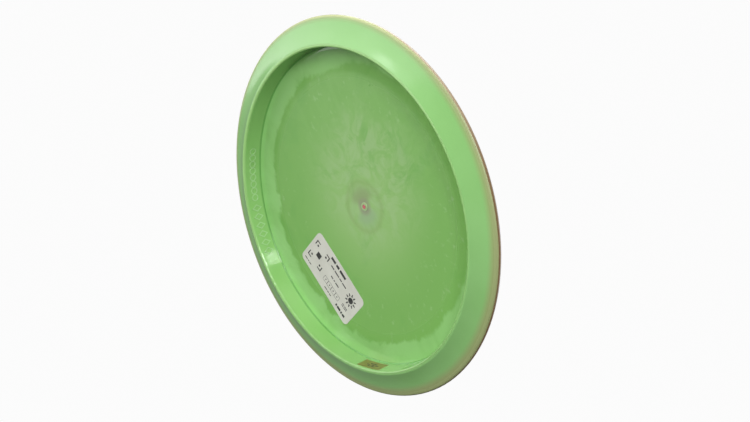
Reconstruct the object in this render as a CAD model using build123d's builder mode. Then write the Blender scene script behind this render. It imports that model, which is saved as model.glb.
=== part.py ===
from build123d import *

import os
from math import atan2, cos, degrees, radians, sin, tan

# A golf disc of the fairway driver kind, lying on the lip of its rim with the flight plate up.
# The origin is the centre of the ring that it rests on, and +Z is the axis that it spins about.
# The disc is one moulding: rim and flight plate meet face to face at the seam radius.
# All sizes are in millimetres and all angles in degrees.

os.makedirs("parts", exist_ok=True)

# Whole disc
disc_radius = 105.5
rim_depth = 10.8            # from the lip up to the flight plate's underside at the wall
plate_thickness = 2.3

# Rim section
lip_inner_radius = 89.5     # lip corners, before they are rounded
lip_outer_radius = 91.5
lip_inner_round = 0.9
lip_outer_round = 1.2
wall_top_radius = 88.9
wall_top_round = 0.6
seam_radius = 87.0
nose_height = 7.1           # the parting line of the mould runs round the nose at this height
nose_round = 1.65
wing_slope_at_nose = 14.0   # the underside of the wing is hollow, so it is steeper at the lip
crown_slope_at_nose = 26.0

# Injection gate, a trimmed stub inside a low ring, under the middle of the plate
gate_ring_radius = 2.3
gate_ring_bore = 1.65
gate_stub_radius = 1.2
gate_ring_drop = 0.35
gate_stub_drop = 0.5
gate_root = 0.4

# Raised marks in a row along the inner wall, read from inside with the plate above
mark_height = 5.5           # above the lip
mark_raise = 0.3
small_mark_count = 8
small_mark_first = 124.7
small_mark_pitch = 2.6
small_mark_radius = 2.1
small_mark_stroke = 0.55
large_mark_count = 6
large_mark_first = 102.4
large_mark_pitch = 3.35
large_mark_half_width = 2.2
large_mark_half_height = 3.4
large_mark_bore_half_width = 1.45
large_mark_bore_half_height = 2.25

# Paper label stuck under the flight plate
label_length = 50.0
label_width = 25.0
label_corner = 3.0
label_thickness = 0.12
label_centre = (33.1, 46.4)
label_turn = -23.0

# Foil stock sticker on the inner wall
sticker_start = 11.7
sticker_arc = 11.6
sticker_low = 1.5
sticker_high = 9.0
sticker_thickness = 0.08

# Hot-stamped foil on top of the flight plate
stamp_thickness = 0.05
stamp_ring_radii = (56.0, 52.0, 19.0)   # from the outside in
stamp_ring_width = 1.0
stamp_ray_count = 24
stamp_ray_inner = 24.0
stamp_ray_outer = 47.0
stamp_ray_root = 1.0
stamp_ray_tip = 3.4
stamp_hub_radius = 11.0
stamp_hub_sides = 6

# Heights and places that follow from those
nose_centre_radius = disc_radius - nose_round
seam_top = rim_depth + plate_thickness
nose_top_radius = nose_centre_radius + nose_round * sin(radians(crown_slope_at_nose))
nose_top_height = nose_height + nose_round * cos(radians(crown_slope_at_nose))
crown_chord_slope = degrees(atan2(seam_top - nose_top_height, nose_top_radius - seam_radius))
seam_slope = 2 * crown_chord_slope - crown_slope_at_nose
dome_rise = seam_radius * tan(radians(seam_slope / 2))
plate_ceiling = rim_depth + dome_rise
wall_draft = degrees(atan2(lip_inner_radius - wall_top_radius, rim_depth))


def wall_radius(height):
    """Radius of the drafted inner wall at a height above the lip."""
    return lip_inner_radius - height * tan(radians(wall_draft))


def upright_plane(angle):
    """Plane through the spin axis: x runs outwards at the angle, y runs up."""
    outwards = Vector(cos(radians(angle)), sin(radians(angle)), 0)
    return Plane(origin=(0, 0, 0), x_dir=outwards, z_dir=outwards.cross(Vector(0, 0, 1)))


def wall_plane(angle, height):
    """Plane on the inner wall: x runs round the wall, y runs up it, z points into the cavity."""
    along = Vector(sin(radians(angle)), -cos(radians(angle)), 0)
    inwards = Vector(-cos(radians(angle)), -sin(radians(angle)), -tan(radians(wall_draft)))
    radius = wall_radius(height)
    origin = (radius * cos(radians(angle)), radius * sin(radians(angle)), height)
    return Plane(origin=origin, x_dir=along, z_dir=inwards)


def corner(sketch, point):
    """The vertex of a sketch nearest to a point."""
    return sketch.vertices().sort_by_distance(point)[0]


def lozenge_corners(half_width, half_height):
    """Corners of a four-sided figure that stands on its point."""
    return (half_width, 0), (0, half_height), (-half_width, 0), (0, -half_height)


def dome_skin(edge_height, thickness):
    """A round skin of even thickness, domed like the flight plate, with its edge at the seam radius."""
    with BuildPart() as skin:
        with BuildSketch(Plane.XZ):
            with BuildLine():
                TangentArc((0, edge_height + dome_rise), (seam_radius, edge_height), tangent=(1, 0))
                Line((seam_radius, edge_height), (seam_radius, edge_height + thickness))
                TangentArc(
                    (0, edge_height + dome_rise + thickness),
                    (seam_radius, edge_height + thickness),
                    tangent=(1, 0),
                )
                Line((0, edge_height + dome_rise), (0, edge_height + dome_rise + thickness))
            make_face()
        revolve(axis=Axis.Z)
    return skin.part


# Rim: lip, hollow wing, round nose, crown and inner wall
with BuildPart() as rim:
    with BuildSketch(Plane.XZ) as rim_section:
        with BuildLine():
            nose = CenterArc(
                (nose_centre_radius, nose_height),
                nose_round,
                wing_slope_at_nose - 90,
                180 - wing_slope_at_nose - crown_slope_at_nose,
            )
            TangentArc(nose @ 0, (lip_outer_radius, 0), tangent=-(nose % 0))
            Polyline(
                (lip_outer_radius, 0),
                (lip_inner_radius, 0),
                (wall_top_radius, rim_depth),
                (seam_radius, rim_depth),
                (seam_radius, seam_top),
            )
            TangentArc(nose @ 1, (seam_radius, seam_top), tangent=nose % 1)
        make_face()
        fillet(corner(rim_section, (wall_top_radius, rim_depth)), wall_top_round)
        fillet(corner(rim_section, (lip_inner_radius, 0)), lip_inner_round)
        fillet(corner(rim_section, (lip_outer_radius, 0)), lip_outer_round)
    revolve(axis=Axis.Z)

    for index in range(small_mark_count):
        with BuildSketch(wall_plane(small_mark_first - index * small_mark_pitch, mark_height)):
            Circle(small_mark_radius)
            Circle(small_mark_radius - small_mark_stroke, mode=Mode.SUBTRACT)
        extrude(amount=mark_raise, both=True)

    for index in range(large_mark_count):
        with BuildSketch(wall_plane(large_mark_first - index * large_mark_pitch, mark_height)):
            Polygon(*lozenge_corners(large_mark_half_width, large_mark_half_height))
            Polygon(
                *lozenge_corners(large_mark_bore_half_width, large_mark_bore_half_height),
                mode=Mode.SUBTRACT,
            )
        extrude(amount=mark_raise, both=True)

# Flight plate: a shallow dome of even thickness, with the gate under its middle
plate_dome = dome_skin(rim_depth, plate_thickness)
with BuildPart() as flight_plate:
    add(plate_dome)

    with BuildSketch(Plane.XY.offset(plate_ceiling + gate_root)):
        Circle(gate_ring_radius)
        Circle(gate_ring_bore, mode=Mode.SUBTRACT)
    extrude(amount=-(gate_root + gate_ring_drop))

    with BuildSketch(Plane.XY.offset(plate_ceiling + gate_root)):
        Circle(gate_stub_radius)
    extrude(amount=-(gate_root + gate_stub_drop))

# Label: paper that follows the plate's underside
paper_dome = dome_skin(rim_depth - label_thickness, label_thickness)
with BuildPart() as spec_label:
    add(paper_dome)

    with BuildSketch(Plane.XY):
        with Locations(Location((*label_centre, 0), (0, 0, label_turn))):
            RectangleRounded(label_length, label_width, label_corner)
    extrude(amount=seam_top + dome_rise, mode=Mode.INTERSECT)

# Sticker: a strip of foil bent round the inner wall
with BuildPart() as stock_sticker:
    with BuildSketch(upright_plane(sticker_start)):
        with BuildLine():
            Polyline(
                (wall_radius(sticker_low), sticker_low),
                (wall_radius(sticker_high), sticker_high),
                (wall_radius(sticker_high) - sticker_thickness, sticker_high),
                (wall_radius(sticker_low) - sticker_thickness, sticker_low),
                close=True,
            )
        make_face()
    revolve(axis=Axis.Z, revolution_arc=sticker_arc)

# Stamp: rings, rays and a six-sided hub of foil that follow the top of the dome
foil_dome = dome_skin(seam_top, stamp_thickness)
with BuildPart() as top_stamp:
    add(foil_dome)

    with BuildSketch(Plane.XY.offset(rim_depth)):
        for radius in stamp_ring_radii:
            Circle(radius)
            Circle(radius - stamp_ring_width, mode=Mode.SUBTRACT)
        with PolarLocations(0, stamp_ray_count):
            Polygon(
                (stamp_ray_inner, -stamp_ray_root / 2),
                (stamp_ray_outer, -stamp_ray_tip / 2),
                (stamp_ray_outer, stamp_ray_tip / 2),
                (stamp_ray_inner, stamp_ray_root / 2),
                align=None,
            )
        RegularPolygon(stamp_hub_radius, stamp_hub_sides)
    extrude(amount=seam_top + dome_rise, mode=Mode.INTERSECT)

pieces = {
    "rim": rim,
    "flight_plate": flight_plate,
    "spec_label": spec_label,
    "stock_sticker": stock_sticker,
    "top_stamp": top_stamp,
}
for name, piece in pieces.items():
    piece.part.label = name
    export_step(piece.part, f"parts/{name}.step")
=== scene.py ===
from math import cos, radians, sin, tau

import bmesh
import bpy
from mathutils import Matrix, Quaternion, Vector


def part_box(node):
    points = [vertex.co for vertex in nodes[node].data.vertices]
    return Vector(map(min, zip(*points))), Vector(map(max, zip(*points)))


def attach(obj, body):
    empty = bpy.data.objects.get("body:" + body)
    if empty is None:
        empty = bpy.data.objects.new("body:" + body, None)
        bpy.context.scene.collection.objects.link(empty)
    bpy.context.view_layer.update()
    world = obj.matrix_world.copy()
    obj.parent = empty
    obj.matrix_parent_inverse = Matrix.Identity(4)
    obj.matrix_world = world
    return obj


# Looks for the flying disc: materials on the CAD nodes, the print on its label and sticker,
# and a stage with a camera under the disc. Everything is in metres, in the frame of the CAD.
# The patterns below are worked out in millimetres, which MM turns into metres.

MM = 0.001

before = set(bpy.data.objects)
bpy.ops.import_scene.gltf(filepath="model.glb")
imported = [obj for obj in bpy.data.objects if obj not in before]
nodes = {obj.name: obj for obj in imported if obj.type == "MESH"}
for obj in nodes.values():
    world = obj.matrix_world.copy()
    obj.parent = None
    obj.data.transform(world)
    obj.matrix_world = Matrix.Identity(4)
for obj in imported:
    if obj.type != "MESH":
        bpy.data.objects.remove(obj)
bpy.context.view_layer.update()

# Places on the disc, in millimetres
plate_radius = 87.0
wall_radius = 88.9
lip_radius = 89.5
nose_height = 7.1
nose_round = 1.65
rim_depth = 10.8
wall_slope = (lip_radius - wall_radius) / rim_depth
dome_rise = 2.15
plate_thickness = 2.3

# Label, in millimetres: x runs along the reading direction and y runs down the label
label_length = 50.0
label_width = 25.0
label_turn = -23.0
print_height = 0.03
print_root = 0.02
probe_gap = 5.0             # from the start of a ray to the surface that it looks for

# Sticker on the inner wall
sticker_low = 1.5
sticker_high = 9.0

# Camera: under the disc, looking up at it, with the picture turned
camera_distance = 0.760
camera_below = 39.18        # degrees
camera_roll = 71.97         # degrees
camera_lens = 67.86
camera_aim = Vector((0.0040, -0.0093, 0.0114))

# Stage, in metres
floor_radius = 2.0
floor_fade_start = 0.30
floor_fade_end = 1.20
floor_colour = (0.86, 0.86, 0.86, 1.0)
backdrop_colour = (0.97, 0.97, 0.97, 1.0)


# ---------------------------------------------------------------- shader arithmetic


def connect(links, socket, value):
    """Feeds a shader input: links a field or a socket to it, or sets it to a plain value."""
    if isinstance(value, Field):
        value = value.socket
    if isinstance(value, bpy.types.NodeSocket):
        links.new(value, socket)
    else:
        socket.default_value = value


class Field:
    """A number that varies over a surface. Arithmetic on fields adds Math nodes to their material."""

    def __init__(self, tree, socket):
        self.tree = tree
        self.socket = socket

    def math(self, operation, *others):
        """The result of a Math node, with the field as its first number."""
        node = self.tree.nodes.new("ShaderNodeMath")
        node.operation = operation
        for socket, value in zip(node.inputs, (self, *others)):
            connect(self.tree.links, socket, value)
        return Field(self.tree, node.outputs[0])

    def __add__(self, other):
        return self.math("ADD", other)

    def __sub__(self, other):
        return self.math("SUBTRACT", other)

    def __mul__(self, other):
        return self.math("MULTIPLY", other)

    def __truediv__(self, other):
        return self.math("DIVIDE", other)

    def complement(self):
        """1 less the field."""
        return self * -1 + 1

    def size(self):
        """The field without its sign."""
        return self.math("ABSOLUTE")

    def rise(self, low, high):
        """0 up to low, 1 from high on, and smooth between them. It falls where high is below low."""
        node = self.tree.nodes.new("ShaderNodeMapRange")
        node.interpolation_type = "SMOOTHSTEP"
        connect(self.tree.links, node.inputs["Value"], self)
        node.inputs["From Min"].default_value = low
        node.inputs["From Max"].default_value = high
        return Field(self.tree, node.outputs["Result"])

    def band(self, low, high, edge):
        """1 between low and high, with soft edges of the given width."""
        return self.rise(low - edge, low + edge) * self.rise(high + edge, high - edge)


class Finish:
    """One procedural material: its shader, and the fields and colours that feed it."""

    def __init__(self, name, metallic=0.0, specular=0.5):
        self.material = bpy.data.materials.new(name)
        self.material.use_nodes = True
        self.tree = self.material.node_tree
        self.shader = self.tree.nodes["Principled BSDF"]
        self.shader.inputs["Metallic"].default_value = metallic
        self.shader.inputs["Specular IOR Level"].default_value = specular
        coordinates = self.tree.nodes.new("ShaderNodeTexCoord")
        self.place = self.scaled(coordinates.outputs["Object"], 1 / MM)
        self.x, self.y, self.z = self.parts(self.place)
        self.radius = (self.x * self.x + self.y * self.y).math("SQRT")

    def scaled(self, vector, factor):
        """A vector or a colour times a number or a field."""
        node = self.tree.nodes.new("ShaderNodeVectorMath")
        node.operation = "SCALE"
        connect(self.tree.links, node.inputs["Vector"], vector)
        connect(self.tree.links, node.inputs["Scale"], factor)
        return node.outputs["Vector"]

    def parts(self, vector):
        node = self.tree.nodes.new("ShaderNodeSeparateXYZ")
        connect(self.tree.links, node.inputs["Vector"], vector)
        return [Field(self.tree, socket) for socket in node.outputs]

    def vector(self, x, y, z):
        node = self.tree.nodes.new("ShaderNodeCombineXYZ")
        for socket, value in zip(node.inputs, (x, y, z)):
            connect(self.tree.links, socket, value)
        return node.outputs["Vector"]

    def noise(self, size, vector=None, detail=2.0, roughness=0.5, distortion=0.0):
        """Cloudy noise from 0 to 1, with blotches of about the given size."""
        node = self.tree.nodes.new("ShaderNodeTexNoise")
        connect(self.tree.links, node.inputs["Vector"], vector or self.place)
        node.inputs["Scale"].default_value = 1 / size
        node.inputs["Detail"].default_value = detail
        node.inputs["Roughness"].default_value = roughness
        node.inputs["Distortion"].default_value = distortion
        return Field(self.tree, node.outputs["Fac"])

    def mix(self, amount, first, second):
        """The first colour where amount is 0, and the second where it is 1."""
        node = self.tree.nodes.new("ShaderNodeMix")
        node.data_type = "RGBA"
        sockets = [socket for socket in node.inputs if socket.enabled]
        for socket, value in zip(sockets, (amount, first, second)):
            connect(self.tree.links, socket, value)
        return [socket for socket in node.outputs if socket.enabled][0]

    def turned_normal(self, share):
        """The normal with a share of its part round the axis taken away: turned work has none."""
        coordinates = self.tree.nodes.new("ShaderNodeTexCoord")
        x, y, z = self.parts(coordinates.outputs["Normal"])
        sideways = (y * self.x - x * self.y) / self.radius / self.radius * share
        return self.vector(x + sideways * self.y, y - sideways * self.x, z)

    def round_normal(self, centre_height, round_radius):
        """The normal of an outer round that runs round the axis, worked out from the height alone."""
        rise = (self.z - centre_height) / round_radius
        outwards = (rise * rise).complement().math("SQRT") / self.radius
        return self.vector(outwards * self.x, outwards * self.y, rise)

    def bump(self, height, depth, normal=None):
        """Tilts a normal as a height field would, with its full depth in millimetres."""
        node = self.tree.nodes.new("ShaderNodeBump")
        node.inputs["Distance"].default_value = depth * MM
        connect(self.tree.links, node.inputs["Height"], height)
        if normal:
            world = self.tree.nodes.new("ShaderNodeVectorTransform")
            world.vector_type = "NORMAL"
            world.convert_from = "OBJECT"
            world.convert_to = "WORLD"
            connect(self.tree.links, world.inputs["Vector"], normal)
            connect(self.tree.links, node.inputs["Normal"], world.outputs["Vector"])
        connect(self.tree.links, self.shader.inputs["Normal"], node.outputs["Normal"])

    def set(self, name, value):
        """Feeds an input of the shader."""
        connect(self.tree.links, self.shader.inputs[name], value)


# ---------------------------------------------------------------- materials


def wing_paint(disc):
    """Even green of the wing. A brown cast creeps in from the nose, widest towards +X."""
    clouds = disc.noise(38.0, detail=3.0)
    green = disc.mix(clouds.rise(0.35, 0.65), (0.272, 0.565, 0.185, 1), (0.292, 0.590, 0.205, 1))
    reach = disc.radius + clouds * 1.5 + disc.x * 0.014 - disc.y * 0.002
    return disc.mix(reach.rise(100.8, 105.4) * 0.6, green, (0.39, 0.31, 0.16, 1))


def wall_paint(disc):
    """Green of the inner wall, paler on the raised marks, with painted shade that makes it a little darker
    towards +X.
    """
    clouds = disc.noise(24.0, detail=3.0)
    green = disc.mix(clouds.rise(0.3, 0.7), (0.285, 0.575, 0.175, 1), (0.315, 0.60, 0.20, 1))
    # Painted shade: the wall gets darker towards +X.
    green = disc.mix(disc.x.rise(40, 88) * 0.6, green, (0.235, 0.46, 0.145, 1))
    raised = (disc.radius + disc.z * wall_slope).rise(lip_radius - 0.10, lip_radius - 0.22)
    return disc.mix(raised * disc.z.rise(9.5, 9.2) * 0.45, green, (0.58, 0.80, 0.48, 1))


def haze_field(disc, clouds):
    """Swirls of powder left on the plate round the gate, and mostly towards -X and -Y."""
    x = disc.x + 14
    y = disc.y + 10
    reach = (x * x + y * y).math("SQRT")
    swirls = disc.noise(17.0, detail=5.0, roughness=0.62, distortion=2.2)
    return (reach + clouds * 60).rise(86, 48) * swirls.rise(0.36, 0.62)


def gate_stain(disc, paint, clouds):
    """Greyish flow marks round the gate: two lobes along X, an olive ring and a dark collar."""
    ring = (disc.radius + clouds * 5).band(15.0, 17.5, 2.0)
    paint = disc.mix(ring * 0.55, paint, (0.25, 0.41, 0.13, 1))
    lobes = (disc.x / disc.radius).size().rise(0.15, 0.8)
    spread = (disc.radius + clouds * 6).rise(17.0, 9.5) * lobes
    grey = disc.mix(disc.x.rise(-5, 5), (0.28, 0.40, 0.17, 1), (0.31, 0.48, 0.24, 1))
    paint = disc.mix(spread * 0.95, paint, grey)
    return disc.mix(disc.radius.rise(6.5, 2.8) * 0.75, paint, (0.29, 0.30, 0.20, 1))


def plate_paint(disc):
    """Flight plate from below: feathery rays from the gate, powdery haze, a cloudy margin and the gate,
    with painted light by the wall towards +Y.
    """
    east = disc.x / disc.radius
    north = disc.y / disc.radius
    feathers = disc.vector(east * 5, north * 5, disc.radius / 22)
    rays = disc.noise(1.0, feathers, detail=5.0, roughness=0.6, distortion=1.2)
    clouds = disc.noise(26.0, detail=5.0, roughness=0.6, distortion=0.8)
    paint = disc.mix(disc.radius.rise(8, 62), (0.300, 0.545, 0.175, 1), (0.210, 0.470, 0.110, 1))
    fan = (disc.x * -0.85 - disc.y * 0.5) / disc.radius
    streaks = rays.rise(0.35, 0.65) * fan.rise(-0.3, 0.9) * disc.radius.rise(20, 58)
    paint = disc.mix(streaks * 0.35, paint, (0.26, 0.53, 0.145, 1))
    paint = disc.mix(clouds.rise(0.52, 0.30) * 0.35, paint, (0.15, 0.41, 0.085, 1))
    paint = disc.mix(haze_field(disc, clouds) * 0.55, paint, (0.39, 0.58, 0.27, 1))

    specks = disc.vector(east * 18, north * 18, disc.radius / 4)
    flecks = disc.noise(1.0, specks, detail=4.0).rise(0.58, 0.74)
    fleck_zone = disc.radius.band(50, 78, 8) * clouds.rise(0.45, 0.56)
    paint = disc.mix(flecks * fleck_zone * 0.35, paint, (0.42, 0.64, 0.32, 1))

    bristles = disc.noise(1.0, disc.vector(east * 16, north * 16, disc.radius / 9), detail=4.0)
    fringe = disc.radius + bristles * 4 + clouds * 14 + disc.y * 0.035
    # The cloudy margin is the plate's own, but its cover grows towards +Y as painted light that lifts the
    # shade by the wall.
    margin_cover_with_painted_light = clouds.rise(0.38, 0.62) * 0.30 + disc.y.rise(0, 80) * 0.25 + 0.45
    paint = disc.mix(fringe.rise(85.5, 88.5) * margin_cover_with_painted_light, paint, (0.32, 0.63, 0.22, 1))
    # Painted light: the plate by the wall is brightened towards +Y, where the wall's shade falls.
    paint = disc.scaled(paint, disc.radius.rise(82, 88) * disc.y.rise(20, 80) * 0.22 + 1)

    paint = gate_stain(disc, paint, clouds)
    paint = disc.mix(disc.radius.rise(2.6, 2.3), paint, (0.42, 0.58, 0.29, 1))
    return disc.mix(disc.radius.rise(1.3, 1.05), paint, (0.58, 0.15, 0.17, 1))


def top_paint(disc):
    """Flight plate and crown from above: green, marbled with the brown that shows at the nose."""
    marble = disc.noise(34.0, detail=4.0, roughness=0.55, distortion=1.6)
    clouds = disc.noise(60.0, detail=2.0)
    green = disc.mix(clouds.rise(0.3, 0.7), (0.30, 0.62, 0.20, 1), (0.37, 0.68, 0.27, 1))
    veins = marble.band(0.50, 0.56, 0.05) * 0.45
    paint = disc.mix(veins, green, (0.42, 0.42, 0.24, 1))
    border = (disc.radius + marble * 16).rise(103, 113)
    return disc.mix(border * 0.8, paint, (0.42, 0.27, 0.17, 1))


def nose_paint(disc):
    """Round nose: a pale yellow painted highlight low on it and the tan of the plastic above that, both
    paler towards -X and darker towards +X as painted light and shade.
    """
    # Painted highlight and shade: the pale line stands for light caught low on the round, and both colours
    # go from lit at -X to shaded at +X.
    nose_painted_highlight = disc.mix(disc.x.rise(-100, -30), (0.58, 0.63, 0.32, 1), (0.36, 0.41, 0.18, 1))
    tan = disc.mix(disc.x.rise(-80, 20), (0.56, 0.46, 0.31, 1), (0.22, 0.135, 0.06, 1))
    height = disc.z - disc.x.rise(-60, -100) * 0.8
    return disc.mix(height.rise(6.15, 6.35), nose_painted_highlight, tan)


def upper_half(disc):
    """1 above the middle of the disc's section, where the looks of the top side start."""
    reach = disc.radius / plate_radius
    middle_at_seam = rim_depth + plate_thickness / 2
    middle = (reach * reach).complement() * dome_rise + middle_at_seam
    middle = middle - disc.radius.rise(89, 93) * (middle_at_seam - nose_height)
    return (disc.z - middle).rise(-0.15, 0.15)


def underside_paint(disc, corner, on_lip, on_wing):
    """Everything seen from below but the nose, with painted shade in the corner and a painted highlight on
    the lip towards -X.
    """
    under_plate = disc.radius.rise(88.6, 87.6) * disc.z.rise(10.0, 10.7)
    paint = disc.mix(under_plate, wall_paint(disc), plate_paint(disc))
    # Painted shade: a dark line in the corner where the wall meets the plate.
    paint = disc.mix(corner * 0.75, paint, (0.10, 0.36, 0.06, 1))
    paint = disc.mix(on_wing, paint, wing_paint(disc))
    # Painted highlight: the lip is paler towards -X.
    return disc.mix(on_lip * disc.x.rise(60, -60) * 0.5, paint, (0.40, 0.72, 0.24, 1))


def moulding_normal(disc):
    """The smooth normal of a turned shape, which the marks on the wall don't share."""
    marked = disc.radius.band(88.7, 89.5, 0.1) * disc.z.band(1.5, 9.4, 0.1)
    turned = disc.turned_normal(marked.complement())
    on_round = disc.radius.rise(95, 100) * disc.z.band(5.6, 8.5, 0.1)
    return disc.mix(on_round, turned, disc.round_normal(nose_height, nose_round))


def moulded_green():
    """The disc's plastic. One material paints rim and plate, so that no seam shows between them."""
    disc = Finish("moulded_green", specular=0.6)
    corner = disc.radius.band(88.2, 88.9, 0.3) * disc.z.rise(9.9, 10.3)
    on_lip = disc.radius.band(89.6, 91.4, 0.4) * disc.z.rise(1.6, 0.8)
    on_wing = disc.radius.rise(90.3, 91.4)
    on_nose = disc.radius.rise(103.2, 104.2) * disc.z.rise(5.2, 6.1)
    on_top = upper_half(disc)
    paint = underside_paint(disc, corner, on_lip, on_wing)
    paint = disc.mix(on_top, paint, top_paint(disc))
    disc.set("Base Color", disc.mix(on_nose, paint, nose_paint(disc)))

    grain = disc.noise(0.8, detail=3.0, roughness=0.6)
    smears = disc.noise(22.0, detail=4.0, distortion=0.8)
    low_on_nose = disc.radius.rise(102.5, 104) * disc.z.rise(6.7, 6.3)
    dull = disc.radius.rise(77, 71) * 0.20 + on_wing * 0.08 + (on_lip + corner) * 0.05
    dull = dull + low_on_nose * 0.30
    dull = dull + on_top * disc.radius.rise(103, 70) * 0.12
    disc.set("Roughness", dull + smears * 0.05 + 0.06)
    disc.bump(grain * 0.03 + smears * 0.97, 0.04, moulding_normal(disc))
    return disc.material


def label_paper():
    """Off-white label paper: fibres and faint yellow blotches."""
    paper = Finish("label_paper", specular=0.35)
    fibres = paper.noise(0.35, detail=4.0, roughness=0.7)
    blotches = paper.noise(9.0, detail=3.0)
    colour = paper.mix(blotches.rise(0.35, 0.7), (0.66, 0.66, 0.59, 1), (0.61, 0.61, 0.54, 1))
    paper.set("Base Color", paper.scaled(colour, fibres * 0.12 + 0.94))
    paper.set("Roughness", fibres * 0.2 + 0.45)
    paper.bump(fibres, 0.02)
    return paper.material


def print_ink():
    """Black label print, greyer where the ribbon left too little."""
    ink = Finish("print_ink", specular=0.4)
    gaps = ink.noise(0.5, detail=3.0, roughness=0.7)
    ink.set("Base Color", ink.mix(gaps.rise(0.5, 0.75), (0.025, 0.025, 0.025, 1), (0.16, 0.16, 0.15, 1)))
    ink.set("Roughness", gaps * 0.3 + 0.4)
    return ink.material


def sticker_foil():
    """Gold foil with a crinkle, and a browner rim where it has been rubbed."""
    foil = Finish("sticker_foil", metallic=0.55)
    crinkle = foil.noise(2.5, detail=4.0, roughness=0.6, distortion=0.6)
    edge = foil.z.band(sticker_low + 0.45, sticker_high - 0.45, 0.25)
    colour = foil.mix(crinkle.rise(0.35, 0.7), (0.29, 0.26, 0.075, 1), (0.38, 0.33, 0.11, 1))
    foil.set("Base Color", foil.mix(edge, (0.30, 0.20, 0.06, 1), colour))
    foil.set("Roughness", crinkle * 0.25 + 0.25)
    foil.bump(crinkle, 0.06)
    return foil.material


def stamp_foil():
    """Silver hot-stamp foil, worn through in flecks to the green below."""
    foil = Finish("stamp_foil")
    wear = foil.noise(1.6, detail=5.0, roughness=0.7)
    sweep = foil.noise(30.0, detail=2.0, distortion=1.0)
    worn = (wear + sweep * 0.25).rise(0.80, 0.86)
    silver = foil.mix(sweep.rise(0.3, 0.7), (0.62, 0.63, 0.66, 1), (0.74, 0.73, 0.70, 1))
    foil.set("Base Color", foil.mix(worn, silver, (0.33, 0.64, 0.23, 1)))
    foil.set("Metallic", worn.complement() * 0.55)
    foil.set("Roughness", wear * 0.2 + 0.25)
    return foil.material


# ---------------------------------------------------------------- print on label and sticker


def disc_outline(x, y, radius, count=20):
    """Corners of a round mark."""
    turns = [tau * index / count for index in range(count)]
    return [(x + radius * cos(turn), y + radius * sin(turn)) for turn in turns]


def bar_outline(x, y, width, height):
    """Corners of a bar whose top left corner is at x, y."""
    return [(x, y), (x + width, y), (x + width, y + height), (x, y + height)]


def ray_outline(x, y, inner, outer, width, turn):
    """Corners of a wedge that points away from x, y."""
    outwards = Vector((cos(turn), sin(turn)))
    across = Vector((-sin(turn), cos(turn)))
    start = Vector((x, y)) + outwards * inner
    end = Vector((x, y)) + outwards * outer
    corners = (start - across * width / 2, end - across * width / 4,
               end + across * width / 4, start + across * width / 2)
    return [tuple(corner) for corner in corners]


def frame_bars(x, y, width, height, line):
    """Four bars that draw an empty box."""
    return [
        bar_outline(x, y, width, line),
        bar_outline(x, y + height - line, width, line),
        bar_outline(x, y + line, line, height - 2 * line),
        bar_outline(x + width - line, y + line, line, height - 2 * line),
    ]


def line_of_bars(x, y, height, widths, gap):
    """A row of bars, one for each width, as print that is too small to read."""
    bars = []
    for width in widths:
        bars.append(bar_outline(x, y, width, height))
        x += width + gap
    return bars


def label_marks():
    """Outlines of the label's print, in millimetres from its top left corner, y downwards."""
    marks = []
    marks += line_of_bars(16.2, 2.5, 1.7, (4.4, 2.9, 6.1), 1.0)
    marks += line_of_bars(19.2, 6.9, 0.8, (3.1, 4.6, 2.4, 3.9), 0.7)
    marks += line_of_bars(23.2, 11.9, 0.8, (2.2, 1.2, 3.4), 0.7)
    for column in range(4):
        marks += frame_bars(20.0 + column * 4.1, 16.2, 4.1, 3.3, 0.16)
        marks.append(disc_outline(22.05 + column * 4.1, 17.85, 0.42))
    marks += line_of_bars(24.2, 21.7, 0.6, (2.6, 1.4, 1.9), 0.5)
    marks += line_of_bars(36.6, 21.0, 1.5, (1.1, 3.2, 1.1, 2.2), 0.6)
    marks += sun_marks(42.4, 9.4)
    for row in range(2):
        marks += line_of_bars(39.6, 16.2 + row * 1.2, 0.5, (1.7, 2.8), 0.5)
    marks += grid_marks(2.4, 5.2)
    marks += line_of_bars(2.4, 21.7, 0.6, (2.4, 1.1, 1.9), 0.5)
    return marks


def sun_marks(x, y):
    """A plain disc with rays round it."""
    rays = [ray_outline(x, y, 2.7, 4.5, 1.1, tau * index / 10) for index in range(10)]
    return [disc_outline(x, y, 2.0), *rays]


def grid_marks(x, y):
    """A square picked out by its corners, with a smaller square and dots inside. It holds no code."""
    side = 13.6
    arm = 3.4
    line = 0.7
    marks = []
    for left in (x, x + side - arm):
        for top in (y, y + side - line):
            marks.append(bar_outline(left, top, arm, line))
    for left in (x, x + side - line):
        for top in (y + line, y + side - arm):
            marks.append(bar_outline(left, top, line, arm - line))
    marks.append(bar_outline(x + 5.0, y + 5.0, 3.6, 3.6))
    for left in (x + 2.6, x + side - 2.6):
        for top in (y + 2.6, y + side - 2.6):
            marks.append(disc_outline(left, top, 0.7))
    return marks


def label_point(x, y, depth):
    """Where a spot of the label lies, from its top left corner, on the paper and sunk by depth."""
    low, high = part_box("spec_label")
    middle = (low + high) / 2
    turn = Matrix.Rotation(radians(label_turn), 3, "Z")
    flat = turn @ Vector((x - label_length / 2, y - label_width / 2, 0)) * MM
    start = Vector((middle.x + flat.x, middle.y + flat.y, low.z - probe_gap * MM))
    _, hit, _, _ = nodes["spec_label"].ray_cast(start, Vector((0, 0, 1)))
    return hit + Vector((0, 0, depth * MM))


def sticker_point(x, y, depth):
    """Where a spot of the sticker lies: x is degrees round the wall, y millimetres up it."""
    low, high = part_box("stock_sticker")
    middle = (low + high) / 2
    turn = Vector((middle.x, middle.y)).angle_signed(Vector((1, 0))) + radians(x)
    outwards = Vector((cos(turn), sin(turn), 0))
    start = outwards * (plate_radius - probe_gap) * MM + Vector((0, 0, y * MM))
    _, hit, _, _ = nodes["stock_sticker"].ray_cast(start, outwards)
    return hit + outwards * depth * MM


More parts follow.
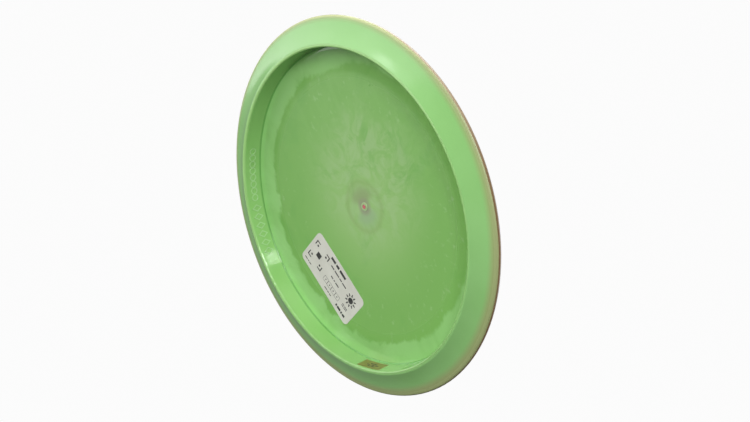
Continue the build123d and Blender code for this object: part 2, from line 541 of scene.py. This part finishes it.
def printed(name, outlines, point_at, material):
    """One mesh of thin raised marks that follow a surface. Each outline becomes a closed tablet."""
    mesh = bmesh.new()
    for outline in outlines:
        front = [mesh.verts.new(point_at(x, y, -print_height)) for x, y in outline]
        back = [mesh.verts.new(point_at(x, y, print_root)) for x, y in outline]
        mesh.faces.new(front)
        mesh.faces.new(reversed(back))
        for index in range(len(outline)):
            after = (index + 1) % len(outline)
            mesh.faces.new((front[index], back[index], back[after], front[after]))
    bmesh.ops.recalc_face_normals(mesh, faces=mesh.faces)
    data = bpy.data.meshes.new(name)
    mesh.to_mesh(data)
    mesh.free()
    data.materials.append(material)
    piece = bpy.data.objects.new(name, data)
    bpy.context.scene.collection.objects.link(piece)
    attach(piece, "root")


def sticker_marks():
    """Outlines of the sticker's print, in degrees round the wall and millimetres up it."""
    marks = []
    for height, starts in ((6.2, (-1.5, 0.3)), (4.7, (-3.0, -1.0, 1.4)), (3.4, (-1.6, 0.2))):
        for start in starts:
            marks.append(bar_outline(start, height, 1.5, 0.6))
    return marks


# ---------------------------------------------------------------- stage


def dress(node, material):
    """Gives a CAD node one material."""
    data = nodes[node].data
    data.materials.clear()
    data.materials.append(material)


def floor_matt(colour, near, far):
    """Matt, seen only from above, and it fades out between two distances from the disc."""
    material = bpy.data.materials.new("floor_matt")
    material.use_nodes = True
    tree = material.node_tree
    tree.nodes.clear()
    matt = tree.nodes.new("ShaderNodeBsdfDiffuse")
    matt.inputs["Color"].default_value = colour
    clear = tree.nodes.new("ShaderNodeBsdfTransparent")
    place = tree.nodes.new("ShaderNodeTexCoord")
    distance = tree.nodes.new("ShaderNodeVectorMath")
    distance.operation = "LENGTH"
    tree.links.new(place.outputs["Object"], distance.inputs[0])
    side = tree.nodes.new("ShaderNodeNewGeometry")
    fade = Field(tree, distance.outputs["Value"]).rise(near, far)
    unseen = fade.math("MAXIMUM", Field(tree, side.outputs["Backfacing"]))
    mix = tree.nodes.new("ShaderNodeMixShader")
    output = tree.nodes.new("ShaderNodeOutputMaterial")
    tree.links.new(unseen.socket, mix.inputs[0])
    tree.links.new(matt.outputs[0], mix.inputs[1])
    tree.links.new(clear.outputs[0], mix.inputs[2])
    tree.links.new(mix.outputs[0], output.inputs["Surface"])
    return material


def lay_floor():
    """A pale floor under the disc, which the camera below looks through."""
    bpy.ops.mesh.primitive_circle_add(vertices=96, radius=floor_radius, fill_type="NGON")
    floor = bpy.context.object
    floor.name = "floor"
    floor.data.materials.append(floor_matt(floor_colour, floor_fade_start, floor_fade_end))
    floor.visible_shadow = False
    floor.visible_diffuse = False
    floor.visible_glossy = False


def add_softbox(name, direction, distance, width, height, watts):
    """A soft light that faces the disc from a direction."""
    data = bpy.data.lights.new(name, "AREA")
    data.shape = "RECTANGLE"
    data.size = width
    data.size_y = height
    data.energy = watts
    lamp = bpy.data.objects.new(name, data)
    bpy.context.scene.collection.objects.link(lamp)
    away = Vector(direction).normalized()
    lamp.location = away * distance
    lamp.rotation_mode = "QUATERNION"
    lamp.rotation_quaternion = away.to_track_quat("Z", "Y")


def set_world(below, above, backdrop):
    """Light of one strength overhead and another from the rest, behind a backdrop for the camera."""
    world = bpy.data.worlds.new("studio")
    bpy.context.scene.world = world
    world.use_nodes = True
    tree = world.node_tree
    tree.nodes.clear()
    direction = tree.nodes.new("ShaderNodeTexCoord")
    parts = tree.nodes.new("ShaderNodeSeparateXYZ")
    tree.links.new(direction.outputs["Generated"], parts.inputs[0])
    overhead = Field(tree, parts.outputs["Z"]).rise(0.35, 0.85)
    sky = overhead * (above - below) + below
    glow = tree.nodes.new("ShaderNodeBackground")
    tree.links.new(sky.socket, glow.inputs["Strength"])
    seen = tree.nodes.new("ShaderNodeBackground")
    seen.inputs["Color"].default_value = backdrop
    path = tree.nodes.new("ShaderNodeLightPath")
    mix = tree.nodes.new("ShaderNodeMixShader")
    output = tree.nodes.new("ShaderNodeOutputWorld")
    tree.links.new(path.outputs["Is Camera Ray"], mix.inputs[0])
    tree.links.new(glow.outputs[0], mix.inputs[1])
    tree.links.new(seen.outputs[0], mix.inputs[2])
    tree.links.new(mix.outputs[0], output.inputs["Surface"])


def place_camera():
    """The camera looks up at the disc's underside, with its picture turned about the view."""
    data = bpy.data.cameras.new("camera")
    data.lens = camera_lens
    data.sensor_width = 36.0
    data.clip_start = 0.01
    camera = bpy.data.objects.new("camera", data)
    bpy.context.scene.collection.objects.link(camera)
    view = Vector((0, cos(radians(camera_below)), sin(radians(camera_below))))
    camera.location = camera_aim - view * camera_distance
    camera.rotation_mode = "QUATERNION"
    roll = Quaternion((0, 0, 1), radians(camera_roll))
    camera.rotation_quaternion = (-view).to_track_quat("Z", "Y") @ roll
    bpy.context.scene.camera = camera


moulding = moulded_green()
dress("rim", moulding)
dress("flight_plate", moulding)
dress("spec_label", label_paper())
dress("stock_sticker", sticker_foil())
dress("top_stamp", stamp_foil())
ink = print_ink()
printed("label_print", label_marks(), label_point, ink)
printed("sticker_print", sticker_marks(), sticker_point, ink)

lay_floor()
set_world(0.11, 0.80, backdrop_colour)
add_softbox("key_box", (-0.22, -0.89, -0.40), 1.6, 0.22, 0.22, 7.0)
add_softbox("key_fill", (-0.20, -0.68, -0.70), 1.6, 0.90, 0.90, 13.5)
add_softbox("left_panel", (-0.62, 0.55, -0.56), 1.6, 1.90, 1.90, 19.5)
add_softbox("left_spot", (-0.69, 0.14, -0.71), 1.6, 0.24, 0.24, 0.7)
add_softbox("back_panel", (0.0, 1.0, 0.05), 2.0, 3.0, 3.0, 3.0)
add_softbox("left_box", (-0.76, -0.62, -0.19), 1.6, 0.90, 0.90, 6.0)
add_softbox("top_panel", (-0.80, 0.05, 0.60), 2.2, 2.40, 1.20, 26.0)
add_softbox("top_fill", (0.45, -0.30, 0.84), 2.2, 1.60, 1.60, 14.0)
place_camera()
bpy.context.scene.view_settings.view_transform = "Standard"
